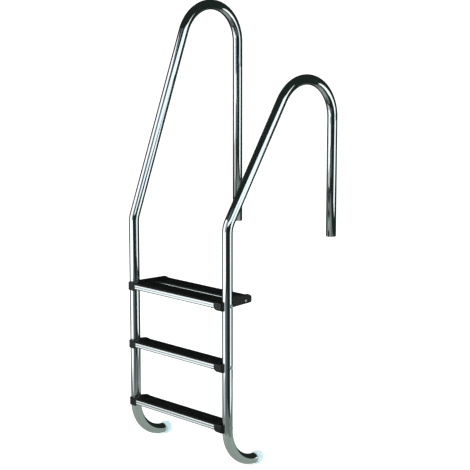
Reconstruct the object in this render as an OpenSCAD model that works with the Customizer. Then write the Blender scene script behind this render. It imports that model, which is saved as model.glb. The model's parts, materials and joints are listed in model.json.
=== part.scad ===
// Pool ladder with one tall and one low handrail, two single steps and a double top step.
// X runs across the ladder, +Y from the pool towards the deck, +Z up.
// The origin is under the middle of the ladder, at the height of the lowest point of the feet.

/* [Handrails] */
// Outer diameter of the rail tube
tube_d = 43; // [38:0.5:48]
// Wall thickness of the rail tube
tube_wall = 1.5; // [1:0.1:3]
// Distance between the two rails, axis to axis
rail_spacing = 560; // [450:5:700]
// Distance from the step tubes back to the anchor legs, axis to axis
leg_reach = 608; // [580:1:680]
// Height of the open lower ends of the anchor legs
leg_end_z = 892; // [800:1:950]
// Centreline radius of the bend at the top of each rail
crown_bend_r = 165; // [120:1:180]
// Centreline radius of the bend where each rail starts to lean back
knee_bend_r = 90; // [60:1:150]
// Height at which the tall rail starts to lean back
tall_knee_z = 959; // [940:1:1000]
// Height at which the low rail starts to lean back
low_knee_z = 978; // [940:1:1000]

/* [Feet] */
// Centreline radius of the bend that turns each rail towards the pool wall
foot_bend_r = 150; // [100:1:160]
// Straight tube after the foot bend
foot_straight = 8; // [4:1:20]
// Outer diameter of the rubber foot bumper
bumper_d = 56; // [46:1:70]
// How far the bumper stands out of the end of the tube
bumper_len = 27; // [20:1:40]
// Length of the bumper's spigot inside the tube
spigot_len = 18; // [12:1:20]

/* [Steps] */
// Height of the top of the double step
top_step_z = 705; // [690:1:740]
// Height from one step to the next
step_pitch = 250; // [230:1:260]
// Distance of a step's front edge in front of the rail tubes' axes
step_nose = 36; // [30:1:45]
// Depth of one tread, front to back
tread_depth = 82; // [70:1:84]
// Height of the folded metal tread
tread_height = 23; // [20:1:26]
// Thickness of the metal tread's sheet
tread_sheet = 1.5; // [1:0.1:2]
// Gap between the two treads of the double step
tread_gap = 26; // [10:1:30]
// Thickness of the ribbed grip plate that covers a tread, ribs included
grip_thick = 4; // [3:0.5:6]
// Width of one grip rib
rib_w = 2.6; // [2:0.1:4]

/* [End caps and brackets] */
// Distance between the tread's end and the rail's axis
cap_in = 42; // [36:1:50]
// How far the cap's saddle reaches past the rail's axis
cap_wrap = 4; // [0:1:6]
// Height of a cap from its top to its underside
cap_height = 34; // [32:1:40]
// Height of the raised pad at the back of a cap
pad_rise = 5; // [3:0.5:8]
// Height of the caps' pads beside the rail
pad_high = 9; // [6:0.5:12]
// Thickness of the caps and brackets behind the rail
bracket_thick = 20; // [14:1:24]
// Distance of the bracket's back end behind the rail's axis
bracket_back = 158; // [156:1:170]

/* [Fasteners] */
// Thread diameter of the bolts that hold the steps to the rails
bolt_d = 8; // [6:1:10]
// Diameter of those bolts' round heads
bolt_head_d = 13; // [10:0.5:16]
// Distance of the bolts below the top of a step
bolt_drop = 14; // [12:1:18]
// Thread diameter of the small screws
screw_d = 4; // [3:0.5:5]

/* [Hidden] */
$fn = 64;

// Leans of the rails from upright: angles of the 44-117-125 and 336-527-625 triangles,
// whose sines and cosines are short decimals, so that bends and straights meet exactly
tall_lean = atan2(44, 117);
low_lean = atan2(336, 527);

clear = 0.2;
tube_r = tube_d / 2;
tube_in_r = tube_r - tube_wall;
rail_x = rail_spacing / 2;
foot_axis_z = bumper_d / 2;
foot_end_y = foot_bend_r + foot_straight;
// Y of the rail tubes at the steps, with the whole ladder centred on the origin
step_tube_y = -(leg_reach + tube_r - step_nose) / 2;
middle_step_z = top_step_z - step_pitch;
lower_step_z = middle_step_z - step_pitch;
step_heights = [top_step_z, middle_step_z, lower_step_z];

tread_end_x = rail_x - cap_in;
tread_back_y = tread_depth - step_nose;
rear_tread_y = tread_back_y + tread_gap;
nose_r = 6;
lip_w = 14;
tongue_len = 38;
tongue_top = grip_thick + tread_sheet + clear;
tongue_bottom = grip_thick + tread_height - tread_sheet - clear;
cap_round = 8;
pad_slope = 5;
cap_slope_w = 14;
cap_slope_h = 9;
pad_front_y = -22;
pad_top_y = -2;
pad_end = 5;
bracket_taper = 5;
side_screw_y = 122;
side_screw_drop = 17;

bolt_head_h = 4;
washer_d = 15;
washer_h = 1.2;
nut_across = 13;
nut_h = 6.5;
nut_pocket = 8;
socket_across = 5;
bolt_head_x = rail_x + tube_r + washer_h;
screw_head_d = 8;
screw_head_h = 2.4;
screw_len = 14;
screw_inset_x = 16;
screw_inset_y = 7;
side_head_d = 10;
side_head_h = 3;
side_screw_len = 34;

steel = "gainsboro";
black = "#1b1e1c";

// Everything at the steps is drawn with the rail tubes' axes on Y = 0
module at_steps() {
    translate([0, step_tube_y, 0]) children();
}

// The piece for the +X rail, or its mirror image for the -X rail
module on_side(side) {
    mirror([side > 0 ? 0 : 1, 0, 0]) children();
}

// A flat shape with Y to its right and Z up, carried along X
module along_x(from_x, to_x) {
    translate([from_x, 0, 0]) rotate([90, 0, 90]) linear_extrude(to_x - from_x) children();
}

// A flat shape with X to its right and Z up, carried along Y
module along_y(from_y, to_y) {
    translate([0, to_y, 0]) rotate([90, 0, 0]) linear_extrude(to_y - from_y) children();
}

// A round bar along X
module x_rod(from_x, to_x, d) {
    translate([from_x, 0, 0]) rotate([0, 90, 0]) cylinder(h = to_x - from_x, d = d);
}

// Rectangle with four rounded corners
module round_rect(low, high, r) {
    translate([low[0] + r, low[1]]) square([high[0] - low[0] - 2 * r, high[1] - low[1]]);
    translate([low[0], low[1] + r]) square([high[0] - low[0], high[1] - low[1] - 2 * r]);
    for (x = [low[0] + r, high[0] - r], y = [low[1] + r, high[1] - r])
        translate([x, y]) circle(r);
}

// ---- handrails ----

module tube_ring() {
    difference() {
        circle(tube_r);
        circle(tube_in_r);
    }
}

// Straight tube, upwards from the origin
module tube_run(length) {
    linear_extrude(length) tube_ring();
}

// Moves to the end of a bend that starts upwards at the origin and turns back towards +Y
module after_bend(r, turn) {
    translate([0, r, 0]) rotate([-turn, 0, 0]) translate([0, -r, 0]) children();
}

// Bent tube, upwards from the origin and back towards +Y, ended square to its last direction
module tube_bend(r, turn) {
    spare = 15;
    reach = 3 * r;
    difference() {
        translate([0, r, 0]) rotate([90, 0, 90]) rotate([0, 0, 180])
            rotate_extrude(angle = -turn - spare) translate([r, 0]) tube_ring();
        after_bend(r, turn) translate([-reach / 2, -reach / 2, 0]) cube(reach);
    }
}

// The bend at the foot of a rail, down from the origin and forward to +Y, and its short end
module foot_bend() {
    translate([0, foot_bend_r, 0]) rotate([90, 0, 90]) rotate([0, 0, 180])
        rotate_extrude(angle = 90) translate([foot_bend_r, 0]) tube_ring();
    translate([0, foot_bend_r, -foot_bend_r]) rotate([-90, 0, 0]) tube_run(foot_straight);
}

module handrail(knee_z, lean) {
    foot_top = foot_axis_z + foot_bend_r;
    bends_back = knee_bend_r * (1 - cos(lean)) + crown_bend_r * (1 + cos(lean));
    lean_len = (leg_reach - bends_back) / sin(lean);
    crown_end_z = knee_z + (knee_bend_r - crown_bend_r) * sin(lean) + lean_len * cos(lean);
    translate([0, 0, foot_top]) foot_bend();
    difference() {
        translate([0, 0, foot_top]) tube_run(knee_z - foot_top);
        for (z = step_heights)
            translate([0, 0, z - bolt_drop]) x_rod(-tube_d, tube_d, bolt_d + 1);
    }
    translate([0, 0, knee_z]) {
        tube_bend(knee_bend_r, lean);
        after_bend(knee_bend_r, lean) {
            tube_run(lean_len);
            translate([0, 0, lean_len]) {
                tube_bend(crown_bend_r, 180 - lean);
                after_bend(crown_bend_r, 180 - lean) tube_run(crown_end_z - leg_end_z);
            }
        }
    }
}

module tall_handrail() {
    color(steel) at_steps() translate([-rail_x, 0, 0]) handrail(tall_knee_z, tall_lean);
}

module low_handrail() {
    color(steel) at_steps() translate([rail_x, 0, 0]) handrail(low_knee_z, low_lean);
}

// ---- feet ----

// Half outline of the bumper: radius to the right, distance out of the tube upwards
module bumper_outline() {
    rim_r = 4;
    face_r = 6;
    rim_h = 12;
    step_in = 3;
    // spigot with two gripping rings
    translate([0, -spigot_len]) square([tube_in_r - 1, spigot_len]);
    for (y = [-spigot_len * 0.7, -spigot_len * 0.3])
        translate([0, y]) square([tube_in_r - clear, 2]);
    // rim next to the tube
    square([bumper_d / 2 - rim_r, rim_h]);
    translate([0, rim_r]) square([bumper_d / 2, rim_h - 2 * rim_r]);
    translate([bumper_d / 2 - rim_r, rim_r]) circle(rim_r);
    translate([bumper_d / 2 - rim_r, rim_h - rim_r]) circle(rim_r);
    // rounded front
    square([bumper_d / 2 - step_in - face_r, bumper_len]);
    square([bumper_d / 2 - step_in, bumper_len - face_r]);
    translate([bumper_d / 2 - step_in - face_r, bumper_len - face_r]) circle(face_r);
}

module foot_bumper(x) {
    at_steps() translate([x, foot_end_y, foot_axis_z]) rotate([-90, 0, 0])
        rotate_extrude() intersection() {
            bumper_outline();
            translate([0, -spigot_len]) square([bumper_d, bumper_len + spigot_len]);
        }
}

module left_foot_bumper() { color("azure") foot_bumper(-rail_x); }
module right_foot_bumper() { color("azure") foot_bumper(rail_x); }

// ---- treads and grips ----

// Folded sheet with turned-in lips, its front edge at front_y and its top at top_z
module folded_section(front_y, top_z) {
    low = [front_y, top_z - tread_height];
    high = [front_y + tread_depth, top_z];
    sheet = [tread_sheet, tread_sheet];
    difference() {
        round_rect(low, high, nose_r);
        round_rect(low + sheet, high - sheet, nose_r - tread_sheet);
        translate([front_y + lip_w, low[1] - 1])
            square([tread_depth - 2 * lip_w, tread_sheet + 2]);
    }
}

// The screws under one tread: two at each end
module at_tread_screws(front_y, step_z) {
    for (side = [-1, 1], y = [front_y + screw_inset_y, front_y + tread_depth - screw_inset_y])
        translate([side * (tread_end_x - screw_inset_x), y, step_z - grip_thick - tread_height])
            children();
}

module tread(front_y, step_z) {
    color(steel) at_steps() difference() {
        along_x(-tread_end_x, tread_end_x) folded_section(front_y, step_z - grip_thick);
        at_tread_screws(front_y, step_z)
            translate([0, 0, -1]) cylinder(h = tread_sheet + 2, d = screw_d + 0.4);
    }
}

// Ribbed plate that lies on the tread, with a lip down its back edge
module grip_section(front_y, step_z) {
    plate_front = front_y + nose_r / 2;
    plate_back = front_y + tread_depth;
    rib_h = 1.4;
    plate_top = step_z - rib_h;
    back_lip = 2;
    rib_pitch = rib_w * 2;
    rib_count = floor((plate_back - plate_front - rib_w) / rib_pitch);
    rib_start = (plate_back + plate_front - rib_count * rib_pitch - rib_w) / 2;
    translate([plate_front, step_z - grip_thick])
        square([plate_back - plate_front, grip_thick - rib_h]);
    for (i = [0 : rib_count])
        translate([rib_start + i * rib_pitch, plate_top - 0.5]) square([rib_w, rib_h + 0.5]);
    translate([plate_back, step_z - grip_thick - nose_r]) square([back_lip, grip_thick - rib_h + nose_r]);
}

module grip(front_y, step_z) {
    color(black) at_steps() along_x(-tread_end_x, tread_end_x) grip_section(front_y, step_z);
}

module top_front_tread() { tread(-step_nose, top_step_z); }
module top_front_grip() { grip(-step_nose, top_step_z); }
module top_rear_tread() { tread(rear_tread_y, top_step_z); }
module top_rear_grip() { grip(rear_tread_y, top_step_z); }
module middle_tread() { tread(-step_nose, middle_step_z); }
module middle_grip() { grip(-step_nose, middle_step_z); }
module lower_tread() { tread(-step_nose, lower_step_z); }
module lower_grip() { grip(-step_nose, lower_step_z); }

// ---- end caps ----

// Cap seen from above: it reaches past the rail's axis in front of the rail, and ends beside it behind
module cap_plan() {
    low = [tread_end_x - cap_round, -step_nose];
    round_rect(low, [rail_x + cap_wrap, 2], cap_round);
    round_rect(low, [tread_end_x + bracket_thick, tread_back_y + 2], cap_round - 2);
}

// Block that fills the end of a tread
module tongue(front_y, step_z) {
    gap = tread_sheet + clear;
    along_x(tread_end_x - tongue_len, tread_end_x + 1)
        round_rect([front_y + gap, step_z - tongue_bottom],
                   [front_y + tread_depth - gap, step_z - tongue_top], nose_r - gap);
}

// Raised pad beside the rail: it slopes down to the tread, to the front and, at its end, to the back
module raised_pad(step_z, back_y) {
    out_x = tread_end_x + bracket_thick;
    intersection() {
        along_y(pad_front_y, back_y)
            polygon([[tread_end_x, step_z - 1], [tread_end_x, step_z],
                     [tread_end_x + pad_slope, step_z + pad_high], [out_x - 1, step_z + pad_high],
                     [out_x, step_z + pad_high - 2], [out_x, step_z - 1]]);
        along_x(tread_end_x - 1, out_x + 1)
            polygon([[pad_front_y, step_z - 1], [pad_front_y, step_z], [pad_top_y, step_z + pad_high],
                     [back_y - pad_end, step_z + pad_rise], [back_y, step_z + 1], [back_y, step_z - 1]]);
    }
}

// The cap's block without its saddle and holes
module cap_block(step_z) {
    intersection() {
        translate([0, 0, step_z - cap_height]) linear_extrude(cap_height + 1) intersection() {
            cap_plan();
            translate([tread_end_x, -rail_x]) square([rail_x, 2 * rail_x]);
        }
        along_x(tread_end_x - 1, rail_x + tube_d)
            round_rect([-step_nose, step_z - cap_height], [tread_back_y + 2, step_z + 1], nose_r);
    }
    tongue(-step_nose, step_z);
}

// What is cut out of a cap: the rail's saddle, the bolt's bore, the nut's pocket
module cap_cuts(step_z) {
    translate([rail_x, 0, step_z - 2 * cap_height])
        cylinder(h = 3 * cap_height, r = tube_r + clear);
    translate([0, 0, step_z - bolt_drop]) {
        x_rod(tread_end_x - tongue_len - 1, rail_x, bolt_d + 0.6);
        translate([tread_end_x - tongue_len - 1, 0, 0]) rotate([0, 90, 0])
            cylinder(h = tongue_len + nut_pocket + 1, d = (nut_across + 0.4) / cos(30), $fn = 6);
    }
    // sloping underside next to the tread
    along_y(-step_nose - 1, bracket_back + 1)
        polygon([[tread_end_x - 0.5, step_z - cap_height - 1],
                 [tread_end_x + cap_slope_w, step_z - cap_height - 1],
                 [tread_end_x - 0.5, step_z - cap_height + cap_slope_h]]);
}

module screw_bores(front_y, step_z) {
    at_tread_screws(front_y, step_z) cylinder(h = screw_len + 1, d = screw_d + clear);
}

module end_cap(step_z, side) {
    color(black) at_steps() on_side(side) difference() {
        union() {
            cap_block(step_z);
            raised_pad(step_z, tread_back_y - nose_r / 2);
        }
        cap_cuts(step_z);
        screw_bores(-step_nose, step_z);
    }
}

module middle_left_cap() { end_cap(middle_step_z, -1); }
module middle_right_cap() { end_cap(middle_step_z, 1); }
module lower_left_cap() { end_cap(lower_step_z, -1); }
module lower_right_cap() { end_cap(lower_step_z, 1); }

// ---- double step brackets ----

// Side of the bracket's arm: Y to the right, Z up; its underside rises towards the back
module arm_side(step_z) {
    r = nose_r;
    low = step_z - cap_height;
    intersection() {
        polygon([[0, low], [tread_back_y, low], [bracket_back, low + bracket_taper],
                 [bracket_back, step_z + 1], [0, step_z + 1]]);
        union() {
            translate([0, low]) square([bracket_back - r, cap_height + 1]);
            translate([0, low + bracket_taper + r]) square([bracket_back, cap_height - bracket_taper - 2 * r]);
            translate([bracket_back - r, low + bracket_taper + r]) circle(r);
            translate([bracket_back - r, step_z + 1 - r]) circle(r);
        }
    }
}

module bracket(side) {
    step_z = top_step_z;
    arm_out_x = tread_end_x + bracket_thick;
    color(black) at_steps() on_side(side) difference() {
        union() {
            cap_block(step_z);
            along_x(tread_end_x, arm_out_x) arm_side(step_z);
            tongue(rear_tread_y, step_z);
            raised_pad(step_z, bracket_back - nose_r);
        }
        cap_cuts(step_z);
        screw_bores(-step_nose, step_z);
        screw_bores(rear_tread_y, step_z);
        translate([0, side_screw_y, step_z - side_screw_drop])
            x_rod(arm_out_x - side_screw_len, arm_out_x + 1, screw_d + clear);
    }
}

module top_left_bracket() { bracket(-1); }
module top_right_bracket() { bracket(1); }

// ---- fasteners ----

// One child at each place where a step is bolted to a rail, with +X pointing outwards
module at_bolts() {
    at_steps() for (side = [-1, 1], z = step_heights)
        on_side(side) translate([0, 0, z - bolt_drop]) children();
}

// Bolt with a domed head and a hexagon socket, from the tread outwards
module step_bolts() {
    dome = 2;
    color(steel) at_bolts() difference() {
        union() {
            x_rod(tread_end_x - 1, bolt_head_x + 1, bolt_d);
            x_rod(bolt_head_x, bolt_head_x + bolt_head_h - dome, bolt_head_d);
            translate([bolt_head_x + bolt_head_h - dome, 0, 0]) rotate([0, 90, 0])
                cylinder(h = dome, d1 = bolt_head_d, d2 = bolt_head_d - 2 * dome);
        }
        translate([bolt_head_x + 2, 0, 0]) rotate([0, 90, 0])
            cylinder(h = bolt_head_h, d = socket_across / cos(30), $fn = 6);
    }
}

// Washer that is flat under the bolt's head and hollowed to sit on the round tube
module saddle_washers() {
    color(black) at_bolts() difference() {
        x_rod(rail_x + tube_r - 2, bolt_head_x, washer_d);
        translate([rail_x, 0, -washer_d]) cylinder(h = 2 * washer_d, r = tube_r + 0.05);
        x_rod(rail_x, bolt_head_x + 1, bolt_d + 0.6);
    }
}

module step_nuts() {
    color(steel) at_bolts() difference() {
        translate([tread_end_x + nut_pocket - nut_h - clear, 0, 0]) rotate([0, 90, 0])
            cylinder(h = nut_h, d = nut_across / cos(30), $fn = 6);
        x_rod(tread_end_x - nut_h, tread_end_x + 2 * nut_h, bolt_d + 0.1);
    }
}

module one_tread_screw() {
    slot_w = 1.2;
    difference() {
        translate([0, 0, -screw_head_h]) union() {
            cylinder(h = screw_head_h, d1 = screw_head_d - 2, d2 = screw_head_d);
            cylinder(h = screw_head_h + screw_len, d = screw_d);
        }
        for (turn = [0, 90])
            rotate([0, 0, turn]) translate([-screw_d / 2, -slot_w / 2, -screw_head_h - 1])
                cube([screw_d, slot_w, 2]);
    }
}

module tread_screws() {
    color(steel) at_steps() {
        at_tread_screws(rear_tread_y, top_step_z) one_tread_screw();
        for (z = step_heights) at_tread_screws(-step_nose, z) one_tread_screw();
    }
}

module bracket_screws() {
    head_x = tread_end_x + bracket_thick;
    color(steel) at_steps() for (side = [-1, 1])
        on_side(side) translate([0, side_screw_y, top_step_z - side_screw_drop]) difference() {
            union() {
                x_rod(head_x - side_screw_len + 1, head_x + 1, screw_d);
                x_rod(head_x, head_x + side_head_h, side_head_d);
            }
            translate([head_x + 1.5, 0, 0]) rotate([0, 90, 0])
                cylinder(h = side_head_h, d = socket_across / cos(30), $fn = 6);
        }
}

tall_handrail();
low_handrail();
left_foot_bumper();
right_foot_bumper();
top_front_tread();
top_front_grip();
top_rear_tread();
top_rear_grip();
top_left_bracket();
top_right_bracket();
middle_tread();
middle_grip();
middle_left_cap();
middle_right_cap();
lower_tread();
lower_grip();
lower_left_cap();
lower_right_cap();
step_bolts();
saddle_washers();
step_nuts();
tread_screws();
bracket_screws();
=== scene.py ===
"""Pool ladder with a tall and a low handrail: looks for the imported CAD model, in metres."""

import json
import math

import bmesh
import bpy
import numpy as np
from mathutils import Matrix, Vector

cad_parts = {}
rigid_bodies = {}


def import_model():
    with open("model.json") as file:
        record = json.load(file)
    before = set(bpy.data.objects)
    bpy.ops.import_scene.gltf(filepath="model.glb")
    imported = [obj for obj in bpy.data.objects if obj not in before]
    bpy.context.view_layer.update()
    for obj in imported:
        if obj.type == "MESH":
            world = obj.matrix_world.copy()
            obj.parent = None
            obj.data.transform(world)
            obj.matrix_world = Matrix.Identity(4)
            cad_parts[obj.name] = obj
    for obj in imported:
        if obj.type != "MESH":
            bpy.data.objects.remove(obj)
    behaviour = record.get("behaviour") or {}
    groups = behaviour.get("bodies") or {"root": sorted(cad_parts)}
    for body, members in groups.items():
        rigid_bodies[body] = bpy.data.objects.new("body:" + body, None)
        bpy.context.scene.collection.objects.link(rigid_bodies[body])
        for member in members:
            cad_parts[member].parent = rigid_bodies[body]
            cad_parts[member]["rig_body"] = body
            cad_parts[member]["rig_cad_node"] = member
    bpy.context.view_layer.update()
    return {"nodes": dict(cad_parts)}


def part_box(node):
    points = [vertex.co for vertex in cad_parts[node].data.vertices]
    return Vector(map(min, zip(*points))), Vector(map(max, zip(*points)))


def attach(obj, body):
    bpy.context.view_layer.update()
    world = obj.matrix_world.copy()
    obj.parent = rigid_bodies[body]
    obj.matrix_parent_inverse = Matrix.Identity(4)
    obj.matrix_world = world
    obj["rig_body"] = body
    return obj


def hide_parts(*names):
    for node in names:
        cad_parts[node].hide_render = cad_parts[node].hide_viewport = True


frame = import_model()
nodes = frame["nodes"]


# ---- handrails ----
# Each handrail is one length of round stainless tube, bent cold on a former and then polished
# to a mirror. Its front foot is bent towards the pool wall and its back leg, cut square, stands
# in a deck anchor. Polishing leaves hair-fine rings and a few faint smears.

TUBE_R = 0.0215
TUBE_WALL = 0.0015
BUMPER_R = 0.028
LEG_REACH = 0.608
LEG_END_Z = 0.892
CROWN_R = 0.165
KNEE_R = 0.090
FOOT_R = 0.150
FOOT_STRAIGHT = 0.008
RAIL_X = 0.280
TALL_KNEE_Z = 0.959
LOW_KNEE_Z = 0.978
TALL_LEAN = math.atan2(44, 117)
LOW_LEAN = math.atan2(336, 527)
RIM_BEVEL = 0.0005
STEP_TUBE_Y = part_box("tall_handrail")[0].y + TUBE_R
FOOT_END_Y = STEP_TUBE_Y + FOOT_R + FOOT_STRAIGHT


def arc_points(centre, radius, start, turn, step=math.radians(1.5)):
    """Points of an arc in the (y, z) plane: centre + radius * (cos a, sin a), with a running from start
    by turn."""
    count = max(3, math.ceil(abs(turn) / step) + 1)
    a = start + np.linspace(0, turn, count)
    return np.stack([centre[0] + radius * np.cos(a), centre[1] + radius * np.sin(a)], 1)


def rail_path(knee_z, lean):
    """Centreline of a rail from its foot to the end of its leg, as (y, z) points and unit tangents:
    a short straight, a quarter bend, the upright, the knee bend, the leaning run, the crown bend and the leg.
    The leaning run is as long as the reach leaves: (reach - bends) / sin(lean)."""
    bends = KNEE_R * (1 - math.cos(lean)) + CROWN_R * (1 + math.cos(lean))
    run = (LEG_REACH - bends) / math.sin(lean)
    knee_centre = (KNEE_R, knee_z)
    crown_z = knee_z + (KNEE_R - CROWN_R) * math.sin(lean) + run * math.cos(lean)
    crown_centre = (LEG_REACH - CROWN_R, crown_z)
    foot_z = BUMPER_R + FOOT_R
    pieces = [
        np.array([[FOOT_R + FOOT_STRAIGHT, BUMPER_R]]),
        arc_points((FOOT_R, foot_z), FOOT_R, -math.pi / 2, -math.pi / 2),
        np.stack([np.zeros(12), np.linspace(foot_z, knee_z, 14)[1:-1]], 1),
        arc_points(knee_centre, KNEE_R, math.pi, -lean),
        arc_points(crown_centre, CROWN_R, math.pi - lean, lean - math.pi),
        np.array([[LEG_REACH, LEG_END_Z]]),
    ]
    path = np.concatenate(pieces)
    step = np.diff(path, axis=0)
    step /= np.linalg.norm(step, axis=1)[:, None]
    tangent = np.concatenate([step[:1], step[:-1] + step[1:], step[-1:]])
    tangent /= np.linalg.norm(tangent, axis=1)[:, None]
    return path, tangent


def mesh_piece(name, points, faces, uv=None, smooth=True):
    """A mesh object at the origin, from an array of points and a list of faces; uv holds one (u, v) for
    each point."""
    mesh = bpy.data.meshes.new(name)
    mesh.from_pydata(points.tolist(), [], faces)
    mesh.polygons.foreach_set("use_smooth", np.full(len(faces), smooth))
    if uv is not None:
        corner = np.zeros(len(mesh.loops), np.int32)
        mesh.loops.foreach_get("vertex_index", corner)
        layer = mesh.uv_layers.new(name="along")
        layer.data.foreach_set("uv", uv[corner].astype(np.float32).ravel())
    mesh.update()
    piece = bpy.data.objects.new(name, mesh)
    bpy.context.scene.collection.objects.link(piece)
    return piece


def grid_faces(rows, columns, wrap_rows):
    """Quads of a grid whose columns wrap round, and whose rows wrap round too if asked."""
    r = np.arange(rows if wrap_rows else rows - 1)[:, None]
    c = np.arange(columns)[None, :]
    r2, c2 = (r + 1) % rows, (c + 1) % columns
    quads = np.stack([r * columns + c, r * columns + c2, r2 * columns + c2, r2 * columns + c], 2)
    return quads.reshape(-1, 4)


def tube_piece(name, x, path, tangent, around=80):
    """A hollow tube along a path: point = path + radius * (cos a * side + sin a * out), where side is +X
    and out is the tangent turned a quarter turn. The walk goes up the outer wall, over a bevelled rim,
    and down the inner wall."""
    ends = np.array([tangent[0], tangent[-1]]) * RIM_BEVEL
    outer = np.concatenate([path[:1], path[:1] + ends[:1], path[1:-1], path[-1:] - ends[1:], path[-1:]])
    out_r = np.full(len(outer), TUBE_R)
    out_r[[0, -1]] -= RIM_BEVEL
    walk = np.concatenate([outer, outer[::-1]])
    radius = np.concatenate([out_r, np.full(len(outer), TUBE_R - TUBE_WALL)])
    radius[[len(outer), -1]] += RIM_BEVEL / 2
    t = np.concatenate([tangent[:1], tangent[:1], tangent[1:-1], tangent[-1:], tangent[-1:]])
    t = np.concatenate([t, t[::-1]])
    out = np.stack([t[:, 1], -t[:, 0]], 1)
    a = np.linspace(0, 2 * math.pi, around, endpoint=False)
    points = np.zeros((len(walk), around, 3))
    points[:, :, 0] = x + radius[:, None] * np.cos(a)
    points[:, :, 1:] = walk[:, None, :] + (radius[:, None] * np.sin(a))[:, :, None] * out[:, None, :]
    points[:, :, 1] += STEP_TUBE_Y
    length = np.concatenate([[0], np.cumsum(np.linalg.norm(np.diff(walk, axis=0), axis=1))])
    uv = np.stack(np.broadcast_arrays(a[None, :] * TUBE_R, length[:, None]), 2)
    faces = grid_faces(len(walk), around, True)
    return mesh_piece(name, points.reshape(-1, 3), faces.tolist(), uv.reshape(-1, 2))


class Wire:
    """One output socket of a finish's nodes. Arithmetic on it adds Math nodes."""

    def __init__(self, tree, socket):
        self.tree, self.socket = tree, socket

    def math(self, operation, first, second):
        node = self.tree.nodes.new("ShaderNodeMath")
        node.operation = operation
        for socket, value in zip(node.inputs, (first, second)):
            plug(self.tree, socket, value)
        return Wire(self.tree, node.outputs[0])

    def __add__(self, other):
        return self.math("ADD", self, other)

    def __mul__(self, other):
        return self.math("MULTIPLY", self, other)

    __radd__ = __add__
    __rmul__ = __mul__


def plug(tree, socket, value):
    """Links a Wire to a socket, or sets the socket to a plain value."""
    if isinstance(value, Wire):
        tree.links.new(value.socket, socket)
    else:
        socket.default_value = value


class Finish:
    """A material with one Principled shader, and the means to add nodes in front of it."""

    def __init__(self, name, **constants):
        self.material = bpy.data.materials.new(name)
        self.material.use_nodes = True
        self.tree = self.material.node_tree
        self.shader = self.tree.nodes["Principled BSDF"]
        self.feed(**constants)

    def feed(self, **sockets):
        """Sets or links the shader's sockets: Base_Color stands for Base Color."""
        for name, value in sockets.items():
            plug(self.tree, self.shader.inputs[name.replace("_", " ")], value)

    def node(self, kind, settings=None, sockets=None, out=0):
        """Adds any node: its settings first, then its sockets; gives one of its outputs."""
        node = self.tree.nodes.new("ShaderNode" + kind)
        for name, value in (settings or {}).items():
            setattr(node, name, value)
        for name, value in (sockets or {}).items():
            plug(self.tree, node.inputs[name], value)
        return Wire(self.tree, node.outputs[out])

    def coordinates(self, scale, uv=False):
        """Object coordinates, or the piece's own UV map, times a scale for each direction."""
        place = self.node("UVMap", {"uv_map": "along"}) if uv else self.node("TexCoord", out=3)
        return self.node("Mapping", sockets={"Vector": place, "Scale": scale})

    def noise(self, scale, detail=2.0, uv=False, rough=0.5):
        """Noise from 0 to 1 with a scale for each direction."""
        at = self.coordinates(scale, uv)
        sockets = {"Vector": at, "Scale": 1.0, "Detail": detail, "Roughness": rough}
        return self.node("TexNoise", sockets=sockets)

    def spread(self, value, low, high, to_low=0.0, to_high=1.0):
        """Carries low..high to to_low..to_high, and holds it there."""
        return self.node("MapRange", sockets={"Value": value, "From Min": low, "From Max": high,
                                              "To Min": to_low, "To Max": to_high})

    def tint(self, factor, first, second):
        """A colour between two colours."""
        sockets = {0: factor, 6: (*first, 1), 7: (*second, 1)}
        return self.node("Mix", {"data_type": "RGBA"}, sockets, out=2)

    def bump(self, height, distance):
        """A surface normal from a height, whose whole range from 0 to 1 stands for a distance in metres."""
        sockets = {"Height": height, "Distance": distance, "Strength": 1.0}
        self.feed(Normal=self.node("Bump", sockets=sockets))


def polished_steel():
    """Mirror finish: rings of hair-fine polishing marks round the tube, cloudy smears, small water marks."""
    f = Finish("polished_steel", Metallic=1.0)
    hair = f.noise((60, 2600, 1), 3, uv=True)
    smear = f.noise((9, 9, 5), 4, rough=0.6)
    drops = f.node("TexVoronoi", sockets={"Vector": f.coordinates((1, 1, 1)), "Scale": 70.0})
    marks = f.spread(drops, 0.02, 0.10, 1.0, 0.0) * f.spread(smear, 0.52, 0.62)
    f.feed(Base_Color=f.tint(f.spread(smear, 0.35, 0.65), (0.80, 0.835, 0.845), (0.88, 0.90, 0.895)))
    f.feed(Roughness=0.035 + 0.03 * hair + f.spread(smear, 0.45, 0.75, 0.0, 0.06) + 0.05 * marks)
    f.bump(hair + 0.4 * marks, 0.000004)
    return f.material


polished = polished_steel()
for rail, x, knee_z, lean in (
    ("tall", -RAIL_X, TALL_KNEE_Z, TALL_LEAN),
    ("low", RAIL_X, LOW_KNEE_Z, LOW_LEAN),
):
    tube = tube_piece(f"{rail}_rail_tube", x, *rail_path(knee_z, lean))
    tube.data.materials.append(polished)
    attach(tube, "root")
    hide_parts(f"{rail}_handrail")


# ---- foot bumpers ----
# A soft, milky rubber plug is pushed into the open foot of each rail and rests on the pool wall.
# It is moulded in one piece: a collar against the tube, two soft steps and a dished face.

SPIGOT_R = TUBE_R - TUBE_WALL - 0.0003
SPIGOT_LENGTH = 0.018
SPIGOT_EDGE = 0.001
COLLAR_EDGE = 0.0025
COLLAR_LENGTH = 0.010
GROOVE_EDGE = 0.0012
STEP_EDGE = 0.0024
NOTCH_EDGE = 0.0010
FRONT_EDGE = 0.0045
STEP_AT = (0.0242, 0.0145)
NOTCH_AT = (0.0255, 0.0182)
FRONT_R = 0.0203
FACE_AT = 0.027
FACE_R = 0.020
FACE_RING = 0.0062
FACE_RING_DEPTH = 0.0009
FACE_DISH = 0.0012
FACE_DISH_R = 0.0205
FACE_BUTTON = 0.0012


def rounded(radius, distance, size, start, turn, count):
    """Points of an arc in the (radius, distance) plane, from a start angle by a turn, both in degrees."""
    a = math.radians(start) + np.linspace(0, math.radians(turn), count)
    return np.stack([radius + size * np.cos(a), distance + size * np.sin(a)], 1)


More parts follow.
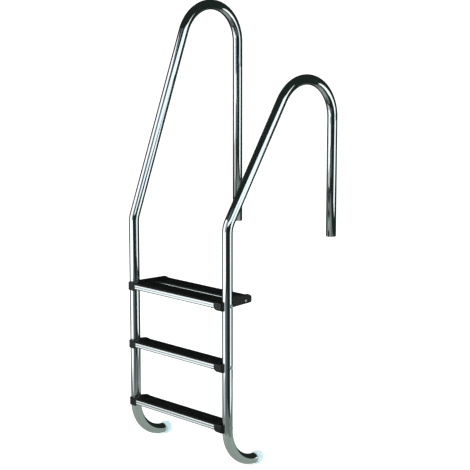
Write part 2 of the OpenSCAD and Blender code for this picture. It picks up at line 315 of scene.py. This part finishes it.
def bumper_outline():
    """The plug's outline from its inner end to the middle of its face, as (radius, distance) points:
    a spigot, a collar, a groove, a middle step, a notch, a rounded front and a face with rings, where
    distance = face - ring depth * (1 - cos(2 pi r / ring)) - dish * cos(pi r / 2 dish radius)."""
    collar_r = BUMPER_R - COLLAR_EDGE
    ring_r = np.linspace(FACE_R, FACE_BUTTON, 60)
    rings = FACE_RING_DEPTH * (1 - np.cos(ring_r / FACE_RING * 2 * math.pi))
    dish = FACE_DISH * np.cos(ring_r / FACE_DISH_R * math.pi / 2)
    return np.concatenate([
        [[SPIGOT_R - 1.5 * SPIGOT_EDGE, -SPIGOT_LENGTH]],
        rounded(SPIGOT_R - SPIGOT_EDGE, -SPIGOT_LENGTH + SPIGOT_EDGE, SPIGOT_EDGE, -90, 90, 5),
        [[SPIGOT_R, -0.0004], [SPIGOT_R + 0.0002, 0.0]],
        rounded(collar_r, COLLAR_EDGE, COLLAR_EDGE, -90, 90, 9),
        rounded(collar_r, COLLAR_LENGTH - COLLAR_EDGE, COLLAR_EDGE, 0, 90, 9),
        rounded(BUMPER_R - GROOVE_EDGE, COLLAR_LENGTH + GROOVE_EDGE, GROOVE_EDGE, -90, -90, 6),
        rounded(*STEP_AT, STEP_EDGE, 0, 60, 6),
        rounded(*NOTCH_AT, NOTCH_EDGE, 240, -90, 5),
        rounded(FRONT_R, FACE_AT - FRONT_EDGE, FRONT_EDGE, 0, 88, 12),
        np.stack([ring_r, FACE_AT - rings - dish], 1)])


def turned_piece(name, x, outline, around=72):
    """A closed turned solid: point = centre + radius * (cos a, sin a) across and distance along +Y, with
    a single point at each end of the axis."""
    a = np.linspace(0, 2 * math.pi, around, endpoint=False)
    rows = len(outline)
    points = np.zeros((rows, around, 3))
    points[:, :, 0] = x + outline[:, :1] * np.cos(a)
    points[:, :, 1] = FOOT_END_Y + outline[:, 1:]
    points[:, :, 2] = BUMPER_R + outline[:, :1] * np.sin(a)
    poles = [[x, FOOT_END_Y + outline[0, 1], BUMPER_R], [x, FOOT_END_Y + outline[-1, 1], BUMPER_R]]
    c = np.arange(around)
    c2 = (c + 1) % around
    first, last = rows * around, rows * around + 1
    base = (rows - 1) * around
    faces = grid_faces(rows, around, False)[:, ::-1].tolist()
    faces += np.stack([np.full(around, first), c, c2], 1).tolist()
    faces += np.stack([np.full(around, last), base + c2, base + c], 1).tolist()
    return mesh_piece(name, np.concatenate([points.reshape(-1, 3), poles]), faces)


def bumper_rubber():
    """Milky rubber, a little see-through and faintly blue, with a fine moulded grain and dull scuffs."""
    f = Finish("bumper_rubber", Subsurface_Weight=0.45, Subsurface_Scale=0.02, IOR=1.45)
    f.feed(Transmission_Weight=0.15)
    f.shader.inputs["Subsurface Radius"].default_value = (0.7, 0.95, 1.0)
    cloud = f.noise((60, 60, 60), 4)
    f.feed(Base_Color=f.tint(cloud, (0.52, 0.72, 0.77), (0.74, 0.88, 0.91)))
    f.feed(Roughness=f.spread(cloud, 0.3, 0.7, 0.26, 0.42))
    f.bump(f.noise((900, 900, 900)), 0.00006)
    return f.material


rubber = bumper_rubber()
for side, x in (("left", -RAIL_X), ("right", RAIL_X)):
    plug_piece = turned_piece(f"{side}_wall_bumper", x, bumper_outline())
    plug_piece.data.materials.append(rubber)
    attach(plug_piece, "root")
    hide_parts(f"{side}_foot_bumper")


# ---- treads ----
# Each tread is a strip of stainless sheet folded into a shallow box, open below, with a rounded nose.
# Its bright front edge, pressed into two beads with a groove between them, shows under the black grip.

TREAD_DEPTH = 0.082
SHEET = 0.0015
NOSE_R = 0.006
LIP = 0.014
GROOVE_DEPTH = 0.0007
GROOVE_WIDTH = 0.0021
GROOVE_DROP = 0.0008
GROOVE_FADE = 0.003


def fold_arc(y, z, r, start):
    """A quarter circle round (y, z) as points, from a start angle in degrees."""
    a = math.radians(start) + np.linspace(0, math.pi / 2, 9)
    return np.stack([y + r * np.cos(a), z + r * np.sin(a)], 1)


def tread_outline(front, top, bottom):
    """The folded sheet's closed outline as (y, z) points. The front wall stands in from the nose by
    depth * exp(-((z - middle) / width)^2), so that it forms two beads; the inner wall follows one sheet
    thickness inside, and the corners are quarter circles."""
    back = front + TREAD_DEPTH
    fold_y, back_fold_y = front + NOSE_R, back - NOSE_R
    fold_z, top_fold_z = bottom + NOSE_R, top - NOSE_R
    inner_r = NOSE_R - SHEET
    z = np.linspace(fold_z, top_fold_z, 41)
    middle = (fold_z + top_fold_z) / 2 - GROOVE_DROP
    groove = GROOVE_DEPTH * np.exp(-(((z - middle) / GROOVE_WIDTH) ** 2))
    groove *= np.clip((z - fold_z) / GROOVE_FADE, 0, 1)
    return np.concatenate([
        [[front + LIP, bottom]],
        fold_arc(fold_y, fold_z, NOSE_R, 180)[::-1],
        np.stack([front + groove, z], 1)[1:-1],
        fold_arc(fold_y, top_fold_z, NOSE_R, 90)[::-1],
        fold_arc(back_fold_y, top_fold_z, NOSE_R, 0)[::-1],
        fold_arc(back_fold_y, fold_z, NOSE_R, 270)[::-1],
        [[back - LIP, bottom], [back - LIP, bottom + SHEET]],
        fold_arc(back_fold_y, fold_z, inner_r, 270),
        fold_arc(back_fold_y, top_fold_z, inner_r, 0),
        fold_arc(fold_y, top_fold_z, inner_r, 90),
        np.stack([front + SHEET + groove, z], 1)[::-1][1:-1],
        fold_arc(fold_y, fold_z, inner_r, 180),
        [[front + LIP, bottom + SHEET]]])


SHARP_EDGE = math.radians(50)


def drawn_piece(name, outline, low_x, high_x):
    """A bar with the same outline from end to end, closed by a flat face at each end."""
    count = len(outline)
    points = np.zeros((2, count, 3))
    points[:, :, 0] = np.array([[low_x], [high_x]])
    points[:, :, 1:] = outline
    faces = grid_faces(2, count, False).tolist()
    faces += [list(range(count)), list(range(2 * count - 1, count - 1, -1))]
    piece = mesh_piece(name, points.reshape(-1, 3), faces)
    outward = bmesh.new()
    outward.from_mesh(piece.data)
    bmesh.ops.recalc_face_normals(outward, faces=outward.faces)
    outward.to_mesh(piece.data)
    outward.free()
    piece.data.set_sharp_from_angle(angle=SHARP_EDGE)
    return piece


def tread_steel():
    """Satin sheet: grain drawn along the tread, a soft cloudiness and dull patches."""
    f = Finish("tread_steel", Metallic=1.0)
    grain = f.noise((6, 1500, 1500), 3)
    cloud = f.noise((7, 22, 22), 3)
    f.feed(Base_Color=f.tint(cloud, (0.74, 0.76, 0.775), (0.90, 0.905, 0.905)))
    f.feed(Roughness=0.12 + 0.10 * grain + f.spread(cloud, 0.4, 0.75, 0.0, 0.06))
    f.bump(grain, 0.000012)
    return f.material


sheet_steel = tread_steel()
for name in ("top_front_tread", "top_rear_tread", "middle_tread", "lower_tread"):
    low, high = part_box(name)
    outline = tread_outline(low.y, high.z, low.z)
    sheet = drawn_piece(name.replace("tread", "folded_tread"), outline, low.x, high.x)
    sheet.data.materials.append(sheet_steel)
    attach(sheet, "root")
    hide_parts(name)


# ---- grip plates ----
# A black plate of moulded plastic lies on each tread and hooks down over its back edge. Rounded ribs
# run along it for grip, and its skin has a coarse, matte texture that holds a little dust.

RIB_PITCH = 0.0052
RIB_HEIGHT = 0.0014
RIB_FLANK = 2.2
RIBS_START = 0.0015
RIBS_END = 0.0055
GRIP_THICK = 0.004
HOOK_INSET = 0.003
HOOK_THICK = 0.002
HOOK_DROP = 0.010
HOOK_BEVEL = 0.0005


def grip_outline(front, top):
    """The plate's closed outline as (y, z) points: the ribbed top, where
    z = base + height * sqrt(min(1, flank * |sin(pi y / pitch)|)), then the hook over the tread's back
    edge, the flat underside and the eased front edge."""
    y = np.linspace(front + RIBS_START, front + TREAD_DEPTH - RIBS_END, 240)
    swing = np.abs(np.sin((y - y[0]) / RIB_PITCH * math.pi))
    base = top - RIB_HEIGHT
    ribs = base + RIB_HEIGHT * np.clip(swing * RIB_FLANK, 0, 1) ** 0.5
    hook_y = front + TREAD_DEPTH - HOOK_INSET
    hook_end = top - HOOK_DROP
    under = top - GRIP_THICK
    return np.concatenate([
        np.stack([y, ribs], 1),
        rounded(hook_y, base - HOOK_THICK, HOOK_THICK, 90, -90, 6),
        [[hook_y + HOOK_THICK, hook_end + 0.0002], [hook_y + HOOK_THICK - HOOK_BEVEL, hook_end],
         [hook_y + HOOK_BEVEL, hook_end], [hook_y, hook_end + 0.0002]],
        [[hook_y, under], [front, under]],
        [[front, under + 0.0006], [front + 0.0004, under + 0.0018], [front + 0.0010, base]]])


def black_grip():
    """Matte black plastic with a coarse skin; dust makes it a little greyer in patches."""
    f = Finish("black_grip", Specular_IOR_Level=0.28)
    dust = f.noise((14, 40, 40), 4, rough=0.65)
    skin = f.noise((1400, 1400, 1400), 2)
    dusty = f.spread(dust, 0.5, 0.8)
    f.feed(Base_Color=f.tint(dusty, (0.0022, 0.0028, 0.0021), (0.0085, 0.0100, 0.0078)))
    f.feed(Roughness=f.spread(dust, 0.3, 0.7, 0.42, 0.62))
    f.bump(skin + 0.6 * f.noise((420, 420, 420), 2), 0.00018)
    return f.material


grip_skin = black_grip()
for name in ("top_front_grip", "top_rear_grip", "middle_grip", "lower_grip"):
    low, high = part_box(name)
    plate = drawn_piece(name.replace("grip", "ribbed_plate"), grip_outline(low.y, high.z), low.x, high.x)
    plate.data.materials.append(grip_skin)
    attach(plate, "root")
    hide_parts(name)


# ---- end caps and brackets ----
# Moulded black plastic caps close the treads' ends, fill them with a tongue and wrap the rails. The
# top step's caps run on backwards as brackets that also carry the rear tread. Edges are soft.

CAP_CELL = 0.0010
CAP_SMOOTHING = 4


def softened(name, node):
    """A copy of a CAD node's mesh, rebuilt from even cells and smoothed so that its edges turn soft."""
    piece = nodes[node].copy()
    piece.data = nodes[node].data.copy()
    piece.name = piece.data.name = name
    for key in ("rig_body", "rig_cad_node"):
        del piece[key]
    piece.parent = None
    bpy.context.scene.collection.objects.link(piece)
    remesh = piece.modifiers.new("cells", "REMESH")
    remesh.mode, remesh.voxel_size, remesh.use_smooth_shade = "VOXEL", CAP_CELL, True
    smooth = piece.modifiers.new("soft", "SMOOTH")
    smooth.factor, smooth.iterations = 0.5, CAP_SMOOTHING
    graph = bpy.context.evaluated_depsgraph_get()
    mesh = bpy.data.meshes.new_from_object(piece.evaluated_get(graph))
    piece.modifiers.clear()
    piece.data = mesh
    mesh.name = name
    return piece


def black_plastic():
    """Moulded black plastic: fine grain, faint flow marks, a slight shine and paler rubbed patches."""
    f = Finish("black_plastic", Specular_IOR_Level=0.32)
    cloud = f.noise((26, 26, 26), 4, rough=0.6)
    grain = f.noise((1100, 1100, 1100), 2)
    rubbed = f.spread(cloud, 0.45, 0.8)
    f.feed(Base_Color=f.tint(rubbed, (0.0025, 0.0040, 0.0032), (0.009, 0.0125, 0.0105)))
    f.feed(Roughness=f.spread(cloud, 0.3, 0.7, 0.24, 0.40))
    f.bump(grain + 0.5 * cloud, 0.00010)
    return f.material


moulded = black_plastic()
for name in (
    "top_left_bracket", "top_right_bracket", "middle_left_cap", "middle_right_cap",
    "lower_left_cap", "lower_right_cap",
):
    cap = softened(f"{name}_moulding", name)
    cap.data.materials.clear()
    cap.data.materials.append(moulded)
    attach(cap, "root")
    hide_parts(name)


# ---- fasteners ----
# Round-headed bolts hold every step end to its rail through a hollowed steel washer, and catch in
# hexagon nuts inside the tread. Small screws fix the treads to the caps, and one sits in the side of
# each bracket. They keep the meshes of the CAD model.

def fastener_steel():
    """Plain turned steel: fine tool rings, small scratches and a slightly uneven, greyer tone."""
    f = Finish("fastener_steel", Metallic=1.0)
    tone = f.noise((240, 240, 240), 3)
    scratch = f.noise((90, 3000, 3000), 2)
    f.feed(Base_Color=f.tint(tone, (0.60, 0.62, 0.63), (0.80, 0.81, 0.81)))
    f.feed(Roughness=0.20 + 0.12 * scratch)
    f.bump(scratch, 0.00001)
    return f.material


turned_steel = fastener_steel()
for name in ("step_bolts", "step_nuts", "tread_screws", "bracket_screws", "saddle_washers"):
    nodes[name].data.materials.clear()
    nodes[name].data.materials.append(turned_steel)


# ---- floor, light and camera ----
# The ladder stands on a plain white floor in even studio light. Cards round it, which only reflections
# see, give the polished tube its white, slate and grey-green bands, and the dark room between them
# its dark ones.

FLOOR_SIZE = 300
FLOOR_GLOW = 0.30
CAMERA_AZIMUTH = 45.495
CAMERA_PITCH = 10.232
CAMERA_PLACE = (4.2225, -4.12975, 1.9662)
LENS = 109.57
CARD_REACH = 4.0
DOME_STRENGTH = 1.16
ROOM_COLOUR = (0.014, 0.021, 0.018, 1)
KEY_POWER = 90
KEY_SIZE = 2.0
KEY_PLACE = (-1.6, -2.6, 3.4)
KEY_TURN = (38, 0, -32)


def plane_piece(name, centre, size, turn=(0, 0, 0)):
    """A flat rectangle round a centre, turned by three angles in degrees."""
    half = np.array(size) / 2
    corners = np.array([[-1, -1], [1, -1], [1, 1], [-1, 1]]) * half
    points = np.column_stack([corners, np.zeros(4)])
    piece = mesh_piece(name, points, [[0, 1, 2, 3]], smooth=False)
    piece.location = centre
    piece.rotation_euler = [math.radians(t) for t in turn]
    return piece


def floor_paint():
    """White paint with faint cloudiness; it glows a little, so that the ladder throws no shadow on it."""
    f = Finish("floor_paint", Roughness=0.9, Specular_IOR_Level=0.1)
    f.feed(Emission_Color=(1, 1, 1, 1), Emission_Strength=FLOOR_GLOW)
    f.feed(Base_Color=f.tint(f.noise((0.8, 0.8, 0.8)), (0.84, 0.84, 0.84), (0.87, 0.87, 0.87)))
    return f.material


floor = plane_piece("floor", (0, 0, 0), (FLOOR_SIZE, FLOOR_SIZE))
floor.data.materials.append(floor_paint())
floor.visible_glossy = False


def glow_card(name, centre, size, turn, colour, strength):
    """A card that only reflections see."""
    card = plane_piece(name, centre, size, turn)
    glow = Finish(name, Base_Color=(0, 0, 0, 1), Emission_Color=(*colour, 1), Emission_Strength=strength)
    card.data.materials.append(glow.material)
    card.visible_camera = card.visible_diffuse = False
    card.visible_shadow = card.visible_transmission = False


def standing_card(name, left, right, low, high, colour, strength, reach=CARD_REACH):
    """An upright card between two angles, counted in degrees to the right of the camera's side of the
    ladder. Its edges stand on a circle round the ladder, so its width is 2 * reach * sin(half)."""
    half = math.radians((right - left) / 2)
    middle = CAMERA_AZIMUTH + (left + right) / 2
    away = math.radians(middle - 90)
    distance = reach * math.cos(half)
    centre = (distance * math.cos(away), distance * math.sin(away), (low + high) / 2)
    glow_card(name, centre, (2 * reach * math.sin(half), high - low), (90, 0, middle), colour, strength)


standing_card("key_card", -97, -30, 0.0, 3.6, (0.92, 0.98, 1.0), 1.35)
standing_card("low_key_card", -97, -46, -0.6, 0.0, (0.92, 0.98, 1.0), 1.3)
standing_card("foot_card", -97, -46, -2.0, -0.6, (0.82, 0.88, 0.85), 0.75)
standing_card("slate_card", -46, -2, -1.1, 0.0, (0.36, 0.47, 0.53), 0.24)
standing_card("lean_card", -52, -32, 0.9, 3.7, (0.42, 0.60, 0.68), 0.42, 2.9)
standing_card("edge_card", -112, -97, -2.0, 0.2, (0.46, 0.54, 0.62), 0.30)
standing_card("front_card", -14, 50, 1.95, 3.3, (0.86, 0.96, 1.0), 1.2)
standing_card("right_low_card", 54, 85, -1.7, 1.0, (0.93, 0.99, 1.0), 1.25)
standing_card("right_high_card", 50, 74, 1.0, 3.0, (0.93, 0.99, 1.0), 1.25)

# Two cards lie just above the floor, the narrow one on top; the feet and the uprights' ends mirror them
for name, width, height, strength in (
    ("near_floor_card", 1.3, 0.00135, 0.40),
    ("far_floor_card", 2.1, 0.00095, 0.20),
):
    glow_card(name, (0, 0, height), (width, width), (0, 0, 0), (0.66, 0.80, 0.72), strength)

# The camera and matt surfaces see a white dome, reflections a dark room
world = bpy.data.worlds.new("studio")
bpy.context.scene.world = world
world.use_nodes = True
sky = world.node_tree
ray = sky.nodes.new("ShaderNodeLightPath")
dome, room = sky.nodes["Background"], sky.nodes.new("ShaderNodeBackground")
dome.inputs["Color"].default_value = (1.0, 1.0, 1.0, 1)
dome.inputs["Strength"].default_value = DOME_STRENGTH
room.inputs["Color"].default_value = ROOM_COLOUR
both = sky.nodes.new("ShaderNodeMixShader")
sky.links.new(ray.outputs["Is Glossy Ray"], both.inputs[0])
sky.links.new(dome.outputs[0], both.inputs[1])
sky.links.new(room.outputs[0], both.inputs[2])
sky.links.new(both.outputs[0], sky.nodes["World Output"].inputs["Surface"])

key = bpy.data.objects.new("key_light", bpy.data.lights.new("key_light", "AREA"))
key.data.shape, key.data.size = "SQUARE", KEY_SIZE
key.data.energy = KEY_POWER
key.data.use_shadow = False
key.location = KEY_PLACE
key.rotation_euler = [math.radians(t) for t in KEY_TURN]
key.visible_glossy = False
bpy.context.scene.collection.objects.link(key)

camera = bpy.data.objects.new("camera", bpy.data.cameras.new("camera"))
camera.location = CAMERA_PLACE
camera.rotation_euler = (math.radians(90 - CAMERA_PITCH), 0, math.radians(CAMERA_AZIMUTH))
camera.data.sensor_width = 36
camera.data.lens = LENS
camera.data.clip_end = FLOOR_SIZE + 200
bpy.context.scene.collection.objects.link(camera)
bpy.context.scene.camera = camera
bpy.context.scene.view_settings.view_transform = "Standard"
